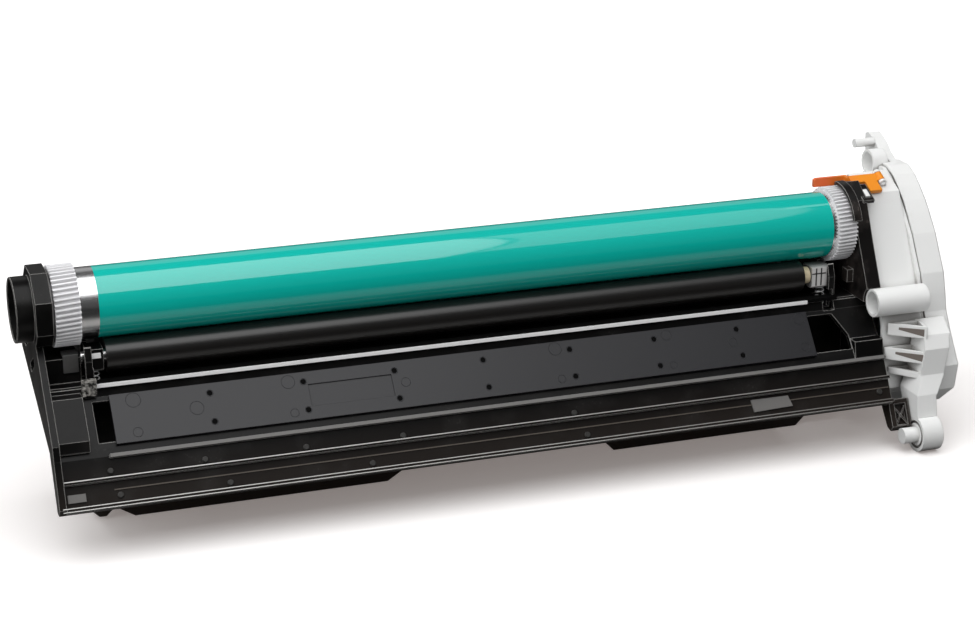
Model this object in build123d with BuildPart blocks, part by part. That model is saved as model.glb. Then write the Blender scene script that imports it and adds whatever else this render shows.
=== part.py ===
from build123d import *
from math import cos, sin, tan, radians, degrees, hypot, atan2
import os

os.makedirs("parts", exist_ok=True)

# Printer drum unit. X runs along the drum axis from the mouth of the drive socket, Y points to the
# back, Z is up. The unit stands on the keel of its frame and on the foot of the right cover.
# Points of a cross-section are given as (y, z) from the drum axis.

# Drum
drum_r = 15.0
tube_wall = 1.0
coat_length = 332.8
bare_left = 7.5
bare_right = 2.2
spigot_length = 10.0
gear_tip_r = 17.0
left_gear_teeth = 48
left_gear_width = 10.5
left_helix = 8.0
right_gear_teeth = 54
right_gear_width = 8.9
right_helix = 20.0
hub_r = 12.45
socket_bore_r = 12.7
coupling_r = 7.5
coupling_depth = 6.0
drum_pin_r = 4.0

# Fits and gaps
running_fit = 0.05
axial_gap = 1.0
slide_gap = 0.3
air_gap = 0.3

# Drive socket at the left end
socket_r = 13.7
socket_length = 7.3
collar_r = 18.0
collar_width = 7.0

# Charging roller under the front of the drum
roller_r = 7.0
roller_core_r = 4.0
journal_r = 3.0
roller_margin = 15.3
roller_length = coat_length - roller_margin
roller_inset = 2.0
roller_angle = 249.8
bearing_width = 7.0
bearing_half = 4.5
bearing_ring_r = 3.9
bearing_tongue = 2.2
bearing_ring_width = 4.0
spring_r = 2.2
spring_wire = 0.5
spring_length = 10.5
spring_turns = 5

# Frame walls, seen end-on
wall = 2.2
floor_z = -96.0
trough_floor = (14.0, -32.0)
stay_seat = (-14.5, -32.0)
slope_top = (-16.2, -36.0)
slope_foot = (-30.2, -53.2)
channel_top = (-32.3, -56.0)
lip_foot = (-42.3, -73.4)
belly = (-38.0, -75.8)
keel_y = -3.0
keel_joint_z = -89.0
rear_y = 36.0
roof_back = (36.5, -2.0)
roof_front = (19.6, 6.0)
rail_height = 2.2
rail_thick = 1.4
rib_pitch = 40.0
rib_thick = 2.0
tab_height = 5.0

# Keel tabs: start and length as shares of the coated length, then slant and height
keel_tabs = ((-0.02, 0.03, 3.5, 3.5), (0.012, 0.385, 8.0, tab_height), (0.681, 0.306, 5.0, tab_height))

# Waste auger in the trough behind the drum
auger_y = 26.0
auger_z = -31.0
auger_r = 7.5
auger_pitch = 24.0
auger_blade = 1.8
auger_journal_r = 2.5
idler_teeth = 30
auger_teeth = 22
gear_backlash = 0.15
idler_pin_r = 2.5

# Front plate and stay
plate_thick = 2.0
plate_inset = 1.1
plate_margin = 15.8
plate_length = coat_length - plate_margin
plate_lap = 1.5
stay_thick = 1.2
stay_height = 1.6
stay_start = 3.3
hole_r = 1.15
hole_pair = 12.5
hole_count = 7
first_hole = 42.5
hole_margin = 10.3
hole_pitch = (coat_length - first_hole - hole_margin) / hole_count
panel_length = 36.5
panel_height = 12.0
panel_start = 41.8
panel_depth = 0.6

# Blade behind the drum
blade_angle = -30.0
blade_length = 12.0
blade_thick = 2.0
blade_tilt = 8.0
bracket_thick = 1.2

# End plates and covers
left_plate_thick = 3.0
left_block_width = 14.5
end_wall_thick = 3.0
side_plate_width = 7.0
side_plate_thick = 2.4
guard_wall = 1.6
cover_wall = 2.0
cover_edge = 1.0
inner_cover_width = 20.0
outer_cover_width = 12.0
lower_boss_r = 6.4
lower_boss_bore_r = 5.2
lower_boss = (-30.0, -30.0)
lower_boss_length = 26.0
ear_pin = (33.2, 27.0)
ear_pin_r = 2.1
ear_pin_length = 10.0
ear_inset = 3.0
cup = (24.0, 20.0)
cup_r = 6.0
cup_length = 7.5
cup_wall = 1.2
foot_pin = (-50.0, -88.0)
foot_pin_r = 3.6
foot_pin_length = 7.0
foot_r = 8.0
foot_width = 10.0
foot_inset = 8.6
screw_r = 1.5
screw_head_r = 3.0
screw_head = 1.0
screw_length = 9.0
screw_places = ((24.0, -4.0), (30.0, -60.0), (-12.0, -70.0))

# Lock lever
lever_thick = 1.8
lever_pin_r = 1.0
lever_slope = 26.6
lever_seat = (4.0, 17.0)
lever_hinge = 13.0
lever_arm = 4.8
lever_arm_y = 0.4
lug_r = 1.9
lug_width = 1.4
lug_gap = 0.2

# Places along the drum axis
collar_x = socket_length
left_gear_x = collar_x + collar_width + axial_gap
tube_x = left_gear_x + left_gear_width
coat_x = tube_x + bare_left
tube_length = bare_left + coat_length + bare_right
right_gear_x = tube_x + tube_length
side_plate_x = right_gear_x + right_gear_width + axial_gap
cover_x = side_plate_x + side_plate_width
outer_cover_x = cover_x + inner_cover_width + cover_wall
total_length = outer_cover_x + outer_cover_width
left_plate_x = collar_x + 0.5
left_block_x = left_plate_x + left_plate_thick
frame_x = left_block_x + left_block_width
right_wall_x = right_gear_x - axial_gap / 2 - end_wall_thick
frame_end = side_plate_x
front_end = cover_x - axial_gap / 2
roller_x = coat_x + roller_inset
roller_end = roller_x + roller_length
plate_x = coat_x + plate_inset
stay_x = coat_x - stay_start
raise_end = frame_x - 2 * axial_gap
rail_x = frame_x + 5.7

# Charging roller axis
roller_distance = drum_r + roller_r + air_gap
roller_y = roller_distance * cos(radians(roller_angle))
roller_z = roller_distance * sin(radians(roller_angle))


def station(x):
    """Plane across the unit at x, with its own x along Y and its own y along Z."""
    return Plane.YZ.offset(x)


def gear_points(teeth, tip_r, turn):
    """Closed loop of straight-flanked teeth, four points to a tooth."""
    module = 2 * tip_r / (teeth + 2)
    root_r = tip_r - 2.25 * module
    points = []
    for tooth in range(teeth):
        for share, radius in ((-0.30, root_r), (-0.14, tip_r), (0.14, tip_r), (0.30, root_r)):
            angle = radians(360 * (tooth + share) / teeth + turn)
            points.append((radius * cos(angle), radius * sin(angle)))
    return points


def helical_teeth(x, width, teeth, tip_r, helix, phase=0, y=0, z=0):
    """A toothed ring, solid to its centre, whose teeth turn with the helix across its width."""
    pitch_r = tip_r * teeth / (teeth + 2)
    twist = degrees(width * tan(radians(helix)) / pitch_r)
    with BuildPart() as ring:
        for along, turn in ((0, phase - twist / 2), (width, phase + twist / 2)):
            with BuildSketch(station(x + along)):
                with Locations((y, z)):
                    Polygon(*gear_points(teeth, tip_r, turn), align=None)
        loft(ruled=True)
    return ring.part


def save(piece, name):
    """Label a finished piece and write it to its own file."""
    piece.label = name
    export_step(piece, "parts/" + name + ".step")


# Drum tube with its green coating, open at both ends
with BuildPart() as drum_tube:
    with BuildSketch(station(tube_x)):
        Circle(drum_r)
        Circle(drum_r - tube_wall, mode=Mode.SUBTRACT)
    extrude(amount=tube_length)
save(drum_tube.part, "drum_tube")

# Left drum gear: hub in the socket, teeth, and a spigot pressed into the tube
left_teeth = helical_teeth(left_gear_x, left_gear_width, left_gear_teeth, gear_tip_r, left_helix)
hub_x = collar_x + left_plate_thick
with BuildPart() as left_drum_gear:
    add(left_teeth)
    with BuildSketch(station(hub_x)):
        Circle(hub_r)
    extrude(amount=left_gear_x - hub_x)
    with BuildSketch(station(tube_x)):
        Circle(drum_r - tube_wall)
    extrude(amount=spigot_length)
    with BuildSketch(station(hub_x)):
        RegularPolygon(radius=coupling_r, side_count=3)
    extrude(amount=coupling_depth, mode=Mode.SUBTRACT)
    with BuildSketch(station(tube_x + spigot_length)):
        Circle(drum_r - tube_wall - wall)
    extrude(amount=-(spigot_length + left_gear_width - wall), mode=Mode.SUBTRACT)
save(left_drum_gear.part, "left_drum_gear")

# Right drum gear: finer teeth, turning on the drum pin
right_teeth = helical_teeth(right_gear_x, right_gear_width, right_gear_teeth, gear_tip_r, right_helix)
with BuildPart() as right_drum_gear:
    add(right_teeth)
    with BuildSketch(station(right_gear_x)):
        Circle(drum_r - tube_wall)
    extrude(amount=-spigot_length)
    with BuildSketch(station(right_gear_x - spigot_length)):
        Circle(drum_r - tube_wall - wall)
        Circle(drum_pin_r + wall, mode=Mode.SUBTRACT)
    extrude(amount=spigot_length + right_gear_width - wall, mode=Mode.SUBTRACT)
    with BuildSketch(station(right_gear_x - spigot_length)):
        Circle(drum_pin_r + running_fit)
    extrude(amount=spigot_length + right_gear_width, mode=Mode.SUBTRACT)
save(right_drum_gear.part, "right_drum_gear")

# Steel pin on which the right end of the drum turns
with BuildPart() as drum_pin:
    with BuildSketch(station(right_gear_x - spigot_length + axial_gap)):
        Circle(drum_pin_r)
    extrude(amount=spigot_length + right_gear_width + side_plate_thick)
    chamfer(drum_pin.edges().filter_by(GeomType.CIRCLE).sort_by(Axis.X)[0], 0.6)
save(drum_pin.part, "drum_pin")

# Drive socket: round mouth, and a collar with flats
with BuildPart() as drive_socket:
    with BuildSketch(station(0)):
        Circle(socket_r)
    extrude(amount=socket_length)
    with BuildSketch(station(collar_x)):
        RegularPolygon(radius=collar_r, side_count=8, rotation=22.5)
        with Locations((0, -collar_r)):
            Rectangle(2 * collar_r, collar_r / 2, mode=Mode.SUBTRACT)
    extrude(amount=collar_width)
    with BuildSketch(station(0)):
        Circle(hub_r + running_fit)
    extrude(amount=collar_x + collar_width, mode=Mode.SUBTRACT)
    with BuildSketch(station(0)):
        Circle(socket_bore_r)
    extrude(amount=hub_x - slide_gap, mode=Mode.SUBTRACT)
    chamfer(drive_socket.edges().filter_by(GeomType.CIRCLE).sort_by(Axis.X)[:2], 0.3)
save(drive_socket.part, "drive_socket")

# Charging roller: rubber sleeve on a stepped steel shaft
with BuildPart() as charging_roller:
    with BuildSketch(station(roller_x)):
        with Locations((roller_y, roller_z)):
            Circle(roller_r)
            Circle(roller_core_r, mode=Mode.SUBTRACT)
    extrude(amount=roller_length)
save(charging_roller.part, "charging_roller")

journal_left = roller_x - 10.0
journal_right = roller_end + bearing_ring_width + bearing_width + axial_gap
with BuildPart() as roller_shaft:
    with BuildSketch(station(roller_x)):
        with Locations((roller_y, roller_z)):
            Circle(roller_core_r)
    extrude(amount=roller_length)
    with BuildSketch(station(journal_left)):
        with Locations((roller_y, roller_z)):
            Circle(journal_r)
    extrude(amount=journal_right - journal_left)
save(roller_shaft.part, "roller_shaft")


def bearing_block(x, width):
    """A block that slides between guides, with a running bore for the journal."""
    with BuildPart() as block:
        with BuildSketch(station(x)):
            with Locations((roller_y, roller_z)):
                Rectangle(2 * bearing_half, 2 * bearing_half)
            with Locations((roller_y, roller_z - bearing_half)):
                Rectangle(2 * bearing_half - 2.4, 1.6)
        extrude(amount=width)
        with BuildSketch(station(x)):
            with Locations((roller_y, roller_z)):
                Circle(journal_r + running_fit)
        extrude(amount=width, mode=Mode.SUBTRACT)
    return block


left_bearing_x = roller_x - axial_gap - bearing_width
left_bearing = bearing_block(left_bearing_x, bearing_width)
save(left_bearing.part, "left_roller_bearing")

right_bearing_x = roller_end + bearing_ring_width + 2 * slide_gap
right_bearing = bearing_block(right_bearing_x, bearing_width + bearing_tongue)
save(right_bearing.part, "right_roller_bearing")

with BuildPart() as bearing_ring:
    with BuildSketch(station(right_bearing_x - slide_gap - bearing_ring_width)):
        with Locations((roller_y, roller_z)):
            Circle(bearing_ring_r)
            Circle(journal_r + running_fit, mode=Mode.SUBTRACT)
    extrude(amount=bearing_ring_width)
save(bearing_ring.part, "roller_collar")

# Springs under the two bearings
left_spring_x = left_bearing_x + bearing_width / 2
right_spring_x = right_bearing_x + bearing_width - 0.5
spring_top = roller_z - bearing_half - 0.8


def roller_spring(x):
    """A compression spring standing on the frame's spring seat, with its wire rising in a helix."""
    rise = spring_length - spring_wire
    with BuildPart() as spring:
        with BuildLine() as path:
            Helix(
                pitch=rise / spring_turns,
                height=rise,
                radius=spring_r - spring_wire / 2,
                center=(x, roller_y, spring_top - spring_length + spring_wire / 2),
            )
        with BuildSketch(Plane(path.line @ 0, z_dir=path.line % 0)):
            RegularPolygon(radius=spring_wire / 2, side_count=6)
        sweep(is_frenet=True)
    return spring


left_spring = roller_spring(left_spring_x)
save(left_spring.part, "left_roller_spring")
right_spring = roller_spring(right_spring_x)
save(right_spring.part, "right_roller_spring")

# Main frame: one long moulding. Its section is drawn as wall centre lines.
trough_r = auger_r + axial_gap + wall / 2
front_path = (stay_seat, slope_top, slope_foot, channel_top, lip_foot, belly)
slope_angle = atan2(slope_foot[1] - slope_top[1], slope_foot[0] - slope_top[0])
channel_angle = atan2(lip_foot[1] - channel_top[1], lip_foot[0] - channel_top[0])
channel_length = hypot(lip_foot[0] - channel_top[0], lip_foot[1] - channel_top[1])
rail_places = (0.0, channel_length * 0.465, channel_length)
tab_z = floor_z + tab_height


def out_from(point, angle, along, outward):
    """A point moved along a wall's direction and out from its front face."""
    y = point[0] + along * cos(angle) + outward * sin(angle)
    z = point[1] + along * sin(angle) - outward * cos(angle)
    return (y, z)


def standing_wall(y, top_z, start, end):
    """A lengthwise wall at y from top_z down to tapered tabs that stand on the floor."""
    points = [(start, top_z), (start, tab_z)]
    for tab_start, tab_share, slant, height in keel_tabs:
        left = coat_x + tab_start * coat_length
        right = left + tab_share * coat_length
        points += [
            (left, tab_z),
            (left + slant, tab_z - height),
            (right - slant, tab_z - height),
            (right, tab_z),
        ]
    points += [(end, tab_z), (end, top_z)]
    with BuildPart() as standing:
        with BuildSketch(Plane.XZ.offset(-y)):
            Polygon(*points, align=None)
        extrude(amount=wall / 2, both=True)
    return standing.part


keel_wall = standing_wall(keel_y, trough_floor[1], frame_x, frame_end)
rear_wall = standing_wall(rear_y, auger_z, frame_x, frame_end)
rib_outline = (
    stay_seat, slope_top, slope_foot, channel_top, lip_foot, belly, (keel_y, keel_joint_z),
    (rear_y, tab_z), (rear_y, auger_z), trough_floor,
)
guide_y = bearing_half + slide_gap
left_raise = ((-15.0, -33.2), (-21.5, -33.2), (-33.6, -47.5), (-33.6, -52.3), (-31.0, -53.5), (-17.0, -36.0))
right_raise = ((-25.0, -47.0), (-31.5, -47.0), (-33.0, -54.5), (-31.0, -54.5))
seat_z = spring_top - spring_length
notch_width = 2 * spring_r + axial_gap
leg_wall = 1.5
leg_width = 9.5
leg_profile = ((-37.0, -74.8), (-41.5, -73.2), (-47.0, -84.5), (-45.3, -87.0), (-42.0, -86.0), (-35.5, -77.5))
leg_hollow = ((-40.0, -76.5), (-46.0, -73.0), (-50.0, -83.0), (-45.0, -84.5))
pocket_slant = 5.5
raise_start = right_wall_x + pocket_slant + slide_gap
post_profile = ((-14.5, -32.5), (-14.5, -24.0), (-12.6, -24.0), (-12.6, -32.5))

with BuildPart() as main_frame:
    # Front floor, slope, channels, lip and belly
    with BuildSketch(station(left_block_x)):
        with BuildLine():
            Polyline(*front_path)
        trace(line_width=wall)
    extrude(amount=front_end - left_block_x)
    # Three rails along the channels, of which the top one starts further in
    for along, rail_start in zip(rail_places, (rail_x, left_block_x, left_block_x)):
        with BuildSketch(station(rail_start)):
            with BuildLine():
                Line(
                    out_from(channel_top, channel_angle, along, 0),
                    out_from(channel_top, channel_angle, along, wall / 2 + rail_height),
                )
            trace(line_width=rail_thick)
        extrude(amount=front_end - rail_start)
    with BuildSketch(station(left_block_x)):
        with BuildLine():
            Line(trough_floor, stay_seat)
        trace(line_width=wall)
    extrude(amount=frame_end - left_block_x)
    # Raised faces at both ends of the slope
    with BuildSketch(station(left_block_x)):
        Polygon(*left_raise, align=None)
    extrude(amount=raise_end - left_block_x)
    with BuildSketch(station(raise_start)):
        Polygon(*right_raise, align=None)
    extrude(amount=front_end - raise_start)
    # Trough for the auger, with its back wall and roof
    with BuildSketch(station(frame_x)):
        with BuildLine():
            Line(trough_floor, (auger_y - trough_r, auger_z))
            ThreePointArc(
                (auger_y - trough_r, auger_z), (auger_y, auger_z - trough_r), (auger_y + trough_r, auger_z)
            )
        trace(line_width=wall)
    extrude(amount=right_wall_x - frame_x)
    with BuildSketch(station(left_block_x)):
        with BuildLine():
            Polyline((rear_y, auger_z), roof_back, roof_front)
        trace(line_width=wall)
    extrude(amount=frame_end - left_block_x)
    add(keel_wall)
    add(rear_wall)
    # Cross ribs
    rib_count = int((right_wall_x - frame_x) / rib_pitch)
    for rib in range(rib_count + 1):
        with BuildSketch(station(frame_x + rib * rib_pitch)):
            Polygon(*rib_outline, align=None)
            with Locations((auger_y, auger_z)):
                Circle(trough_r, mode=Mode.SUBTRACT)
        extrude(amount=rib_thick)
    # End walls, cut round the drum, with slots for the roller bearings
    for wall_x in (tube_x + axial_gap / 2, right_wall_x):
        with BuildSketch(station(wall_x)):
            Polygon(
                (stay_seat[0], stay_seat[1]), (stay_seat[0], roller_z), (roller_y - guide_y, -drum_r),
                (drum_r, -drum_r), (roof_front[0], 0), roof_back, (rear_y, auger_z), trough_floor,
                align=None,
            )
            with Locations((auger_y, auger_z)):
                Circle(trough_r)
            Circle(drum_r + axial_gap, mode=Mode.SUBTRACT)
            with Locations((auger_y, auger_z)):
                Circle(auger_journal_r + running_fit, mode=Mode.SUBTRACT)
            with Locations((roller_y, stay_seat[1] + wall / 2)):
                Rectangle(2 * guide_y, 2 * drum_r, align=(Align.CENTER, Align.MIN), mode=Mode.SUBTRACT)
        extrude(amount=end_wall_thick)
    # Left block under the gear
    with BuildSketch(station(left_block_x)):
        with BuildLine():
            Polyline(
                (roller_y, stay_seat[1]), (roller_y, -gear_tip_r - 2 * wall),
                (auger_y - trough_r, -gear_tip_r - 2 * wall), (auger_y - trough_r, auger_z), trough_floor,
            )
        trace(line_width=wall)
    extrude(amount=left_block_width)
    # Leg under the right end of the lip, with a hollow front
    with BuildSketch(station(front_end - axial_gap)):
        Polygon(*leg_profile, align=None)
    extrude(amount=leg_width)
    with BuildSketch(station(front_end + leg_wall)):
        Polygon(*leg_hollow, align=None)
    extrude(amount=leg_width - axial_gap - 2 * leg_wall, mode=Mode.SUBTRACT)
    # Guide post in front of the left spring
    with BuildSketch(station(left_bearing_x - slide_gap)):
        Polygon(*post_profile, align=None)
    extrude(amount=stay_x - left_bearing_x)
    # Spring seats let into the floor
    for spring_x in (left_spring_x, right_spring_x):
        with BuildSketch(Plane.XY.offset(seat_z - wall)):
            with Locations((spring_x, roller_y)):
                Rectangle(2 * spring_r + 2 * wall, 2 * spring_r + 2 * wall)
        extrude(amount=stay_seat[1] - seat_z + wall)
        with BuildSketch(Plane.XY.offset(seat_z)):
            with Locations((spring_x, roller_y)):
                Rectangle(2 * spring_r + 2 * slide_gap, 2 * spring_r + 2 * slide_gap)
        extrude(amount=stay_seat[1] - seat_z + wall, mode=Mode.SUBTRACT)
    # Notch in the front wall, through which the right spring is seen
    with BuildSketch(Plane.XY.offset(slope_top[1] + slide_gap)):
        with Locations((right_spring_x - spring_r - slide_gap, roller_y - spring_r)):
            Rectangle(notch_width, drum_r, align=(Align.MIN, Align.MAX))
    extrude(amount=2 * bearing_half, mode=Mode.SUBTRACT)
    # Dark pockets at both ends of the front plate
    slope_mid = ((slope_top[0] + slope_foot[0]) / 2, (slope_top[1] + slope_foot[1]) / 2)
    slope_plane = Plane(
        origin=(0, slope_mid[0], slope_mid[1]), x_dir=(1, 0, 0),
        z_dir=(0, sin(slope_angle), -cos(slope_angle)),
    )
    slope_length = hypot(slope_foot[0] - slope_top[0], slope_foot[1] - slope_top[1])
    reach = slope_length / 2 - wall
    left_pocket = (
        (frame_x + wall, -reach), (plate_x + plate_lap, -reach), (plate_x + plate_lap, reach),
        (frame_x + wall, reach),
    )
    plate_end = plate_x + plate_length - plate_lap
    right_pocket = (
        (plate_end, -reach), (right_wall_x + pocket_slant, -reach), (right_wall_x + pocket_slant, -wall),
        (right_wall_x, reach), (plate_end, reach),
    )
    for pocket in (left_pocket, right_pocket):
        with BuildSketch(slope_plane):
            Polygon(*pocket, align=None)
        extrude(amount=wall, both=True, mode=Mode.SUBTRACT)
save(main_frame.part, "main_frame")

# Front plate on the slope: paired holes, and a bare sunk panel
plate_surface = out_from(slope_mid, slope_angle, 0, wall / 2 + plate_thick)
plate_top = Plane(
    origin=(plate_x, plate_surface[0], plate_surface[1]), x_dir=(1, 0, 0),
    z_dir=(0, sin(slope_angle), -cos(slope_angle)),
)
with BuildPart() as front_plate:
    with BuildSketch(plate_top):
        Rectangle(plate_length, slope_length - axial_gap, align=(Align.MIN, Align.CENTER))
    extrude(amount=-plate_thick)
    with BuildSketch(plate_top):
        for number in range(hole_count):
            with Locations((first_hole - plate_inset + number * hole_pitch, 0)):
                with GridLocations(0, hole_pair, 1, 2):
                    Circle(hole_r)
    extrude(amount=-plate_thick * 0.7, mode=Mode.SUBTRACT)
    with BuildSketch(plate_top):
        with Locations((first_hole - plate_inset + panel_start, 0)):
            Rectangle(panel_length, panel_height - 2 * hole_r, align=(Align.MIN, Align.CENTER))
    extrude(amount=-panel_depth, mode=Mode.SUBTRACT)
save(front_plate.part, "front_plate")

# Steel stay: a thin angle along the front of the roller channel
stay_y = stay_seat[0] - wall / 2 - stay_thick / 2 - axial_gap
stay_z = stay_seat[1] + wall / 2 + stay_thick / 2
stay_lip = stay_z + stay_thick / 2 - stay_height
with BuildPart() as steel_stay:
    with BuildSketch(station(stay_x)):
        with BuildLine():
            Polyline((stay_y, stay_lip), (stay_y, stay_z), (roller_y - guide_y, stay_z))
        trace(line_width=stay_thick)
    extrude(amount=roller_end - stay_x)
save(steel_stay.part, "steel_stay")

# Cleaning blade and its bracket, standing on the frame behind the roller channel
blade_x = coat_x + roller_inset
blade_span = roller_length
blade_down = radians(270 - blade_tilt)
blade_tip = (
    (drum_r + air_gap) * cos(radians(blade_angle)), (drum_r + air_gap) * sin(radians(blade_angle)),
)


def by_blade(down, back):
    """A point measured down the blade from its tip, and back from its front face."""
    y = blade_tip[0] + down * cos(blade_down) - back * sin(blade_down)
    z = blade_tip[1] + down * sin(blade_down) + back * cos(blade_down)
    return (y, z)


with BuildPart() as cleaning_blade:
    with BuildSketch(station(blade_x)):
        Polygon(
            by_blade(0, 0), by_blade(0, blade_thick),
            by_blade(blade_length, blade_thick), by_blade(blade_length, 0),
            align=None,
        )
    extrude(amount=blade_span)
save(cleaning_blade.part, "cleaning_blade")

bracket_back = blade_thick + bracket_thick / 2
bracket_z = trough_floor[1] + wall / 2 + bracket_thick / 2
bracket_drop = (bracket_z - blade_tip[1] - bracket_back * cos(blade_down)) / sin(blade_down)
bracket_heel = (by_blade(bracket_drop, bracket_back)[0], bracket_z)
bracket_toe = (bracket_heel[0] - 9.0, bracket_z)
with BuildPart() as blade_bracket:
    with BuildSketch(station(blade_x)):
        with BuildLine():
            Polyline(by_blade(blade_length / 3, bracket_back), bracket_heel, bracket_toe)
        trace(line_width=bracket_thick)
    extrude(amount=blade_span)
save(blade_bracket.part, "blade_bracket")

# Film at the roof of the trough that reaches towards the drum
film_thick = 0.4
roof_angle = atan2(roof_front[1] - roof_back[1], roof_front[0] - roof_back[0])
with BuildPart() as scoop_film:
    with BuildSketch(station(blade_x)):
        with BuildLine():
            Line(
                out_from(roof_front, roof_angle, -2 * wall, wall / 2 + film_thick / 2),
                out_from(roof_front, roof_angle, wall, wall / 2 + film_thick / 2),
            )
        trace(line_width=film_thick)
    extrude(amount=blade_span)
save(scoop_film.part, "scoop_film")

# Felt pad by the left end of the stay
felt_size = 6.0
felt_thick = 2.0
with BuildPart() as felt_pad:
    with BuildSketch(station(stay_x - slide_gap - felt_size)):
        with Locations((slope_top[0] - wall / 2, slope_top[1] + 2 * axial_gap)):
            Rectangle(felt_thick, felt_size + axial_gap, align=(Align.MAX, Align.MIN))
    extrude(amount=felt_size)
save(felt_pad.part, "felt_pad")

# Waste auger: a twisted blade with a journal at each end
turns = int((right_wall_x - frame_x - end_wall_thick - 4 * axial_gap) / (auger_pitch / 8))
auger_x = tube_x + axial_gap / 2 + end_wall_thick + axial_gap
auger_length = turns * auger_pitch / 8
auger_tail = right_gear_x + right_gear_width
with BuildPart() as waste_auger:
    for step in range(turns + 1):
        with BuildSketch(station(auger_x + step * auger_pitch / 8)):
            with Locations(Location((auger_y, auger_z), step * 45)):
                Rectangle(2 * auger_r, auger_blade)
    loft(ruled=True)
    with BuildSketch(station(auger_x - end_wall_thick - axial_gap)):
        with Locations((auger_y, auger_z)):
            Circle(auger_journal_r)
    extrude(amount=end_wall_thick + 2 * axial_gap)
    with BuildSketch(station(auger_x + auger_length - axial_gap)):
        with Locations((auger_y, auger_z)):
            Circle(auger_journal_r)
    extrude(amount=auger_tail - auger_x - auger_length + axial_gap)
save(waste_auger.part, "waste_auger")

# Gear train behind the right drum gear: idler, then the auger's gear
module = 2 * gear_tip_r / (right_gear_teeth + 2)
tooth_pitch = module * 3.141593
drum_pitch_r = module * right_gear_teeth / 2
idler_pitch_r = module * idler_teeth / 2
auger_gear_pitch_r = module * auger_teeth / 2
first_reach = drum_pitch_r + idler_pitch_r + gear_backlash
second_reach = idler_pitch_r + auger_gear_pitch_r + gear_backlash
auger_reach = hypot(auger_y, auger_z)
auger_bearing = degrees(atan2(auger_z, auger_y))
lean_cos = (first_reach**2 + auger_reach**2 - second_reach**2) / (2 * first_reach * auger_reach)
lean = degrees(atan2((1 - lean_cos**2) ** 0.5, lean_cos))
idler_bearing = auger_bearing + lean
idler_y = first_reach * cos(radians(idler_bearing))
idler_z = first_reach * sin(radians(idler_bearing))


def mesh_phase(bearing, first_phase, first_r, second_r):
    """Turn of the second gear that puts its gap against the first gear's tooth along a bearing."""
    offset = radians(first_phase - bearing) * first_r
    return bearing + 180 - degrees((offset + tooth_pitch / 2) / second_r)


idler_phase = mesh_phase(idler_bearing, 0, drum_pitch_r, idler_pitch_r)
second_bearing = degrees(atan2(auger_z - idler_z, auger_y - idler_y))
auger_phase = mesh_phase(second_bearing, idler_phase, idler_pitch_r, auger_gear_pitch_r)
idler_ring = helical_teeth(
    right_gear_x, right_gear_width, idler_teeth, idler_pitch_r + module, -right_helix,
    idler_phase, idler_y, idler_z
)
with BuildPart() as idler_gear:
    add(idler_ring)
    with BuildSketch(station(right_gear_x)):
        with Locations((idler_y, idler_z)):
            Circle(idler_pin_r + running_fit)
    extrude(amount=right_gear_width, mode=Mode.SUBTRACT)
save(idler_gear.part, "idler_gear")

auger_ring = helical_teeth(
    right_gear_x, right_gear_width, auger_teeth, auger_gear_pitch_r + module, right_helix,
    auger_phase, auger_y, auger_z
)
with BuildPart() as auger_gear:
    add(auger_ring)
    with BuildSketch(station(right_gear_x)):
        with Locations((auger_y, auger_z)):
            Circle(auger_journal_r)
    extrude(amount=right_gear_width, mode=Mode.SUBTRACT)
save(auger_gear.part, "auger_gear")

with BuildPart() as idler_pin:
    with BuildSketch(station(right_gear_x - air_gap)):
        with Locations((idler_y, idler_z)):
            Circle(idler_pin_r)
    extrude(amount=right_gear_width + axial_gap + side_plate_thick + air_gap)
save(idler_pin.part, "idler_pin")

# Left end plate: a tapering side under the socket, with two oval slots
left_profile = (
    (-6.0, -13.5), (12.5, -13.5), (26.0, -8.0), (37.0, -12.0), (35.4, -27.8), (3.0, -41.0), (-27.0, -53.5),
    (-38.5, -75.0), (-42.5, -75.0), (-44.5, -72.0), (-36.5, -54.0), (-35.0, -48.0), (-22.0, -32.5),
)
with BuildPart() as left_end_plate:
    with BuildSketch(station(left_plate_x)):
        Polygon(*left_profile, align=None)
        with Locations(Location((20.0, -20.0), -30), Location((7.0, -27.0), -30)):
            SlotOverall(13.0, 4.0, mode=Mode.SUBTRACT)
    extrude(amount=left_plate_thick)
save(left_end_plate.part, "left_end_plate")

# Earth bracket: small folded sheet on the left block
earth_y = roller_y - wall / 2 - stay_thick / 2
earth_top = -gear_tip_r - wall
earth_fold = earth_top - wall / 2 + stay_thick
with BuildPart() as earth_bracket:
    with BuildSketch(station(frame_x - left_block_width / 2)):
        with BuildLine():
            Polyline((earth_y, earth_top - 7.0), (earth_y, earth_fold), (earth_y + 6.0, earth_fold))
        trace(line_width=stay_thick)
    extrude(amount=left_block_width / 2 - axial_gap)
save(earth_bracket.part, "earth_bracket")

# Right side plate: a flanged plate round the gear chamber, with the guard and the snap loop
inside = wall / 2 + slide_gap
side_profile = (
    (0.0, 19.0), (-8.7, 12.1), (-17.0, -6.0), (-26.0, -24.2), (-28.5, -31.2),
    (stay_seat[0] + wall + slide_gap, -31.2),
    out_from(slope_top, slope_angle, wall, -inside), out_from(slope_foot, slope_angle, 0, -inside),
    out_from(channel_top, channel_angle, 0, -inside), out_from(lip_foot, channel_angle, -wall, -inside),
    (belly[0] + axial_gap, belly[1] + 2 * wall), (keel_y, keel_joint_z + wall),
    (rear_y + 1.0, keel_joint_z + wall),
    (37.6, -4.0), (21.0, 9.0), (10.0, 16.5),
)
lever_plane = Plane(
    origin=(cover_x, lever_seat[0], lever_seat[1]), x_dir=(1, 0, 0),
    z_dir=(0, -sin(radians(lever_slope)), cos(radians(lever_slope))),
)
lever_left = -2.4
tongue_y = 10.0
tongue_z = 14.7
web_y = 5.0
web_z = tongue_z + 0.8
web_width = 2.0
web_height = 3.2
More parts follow.
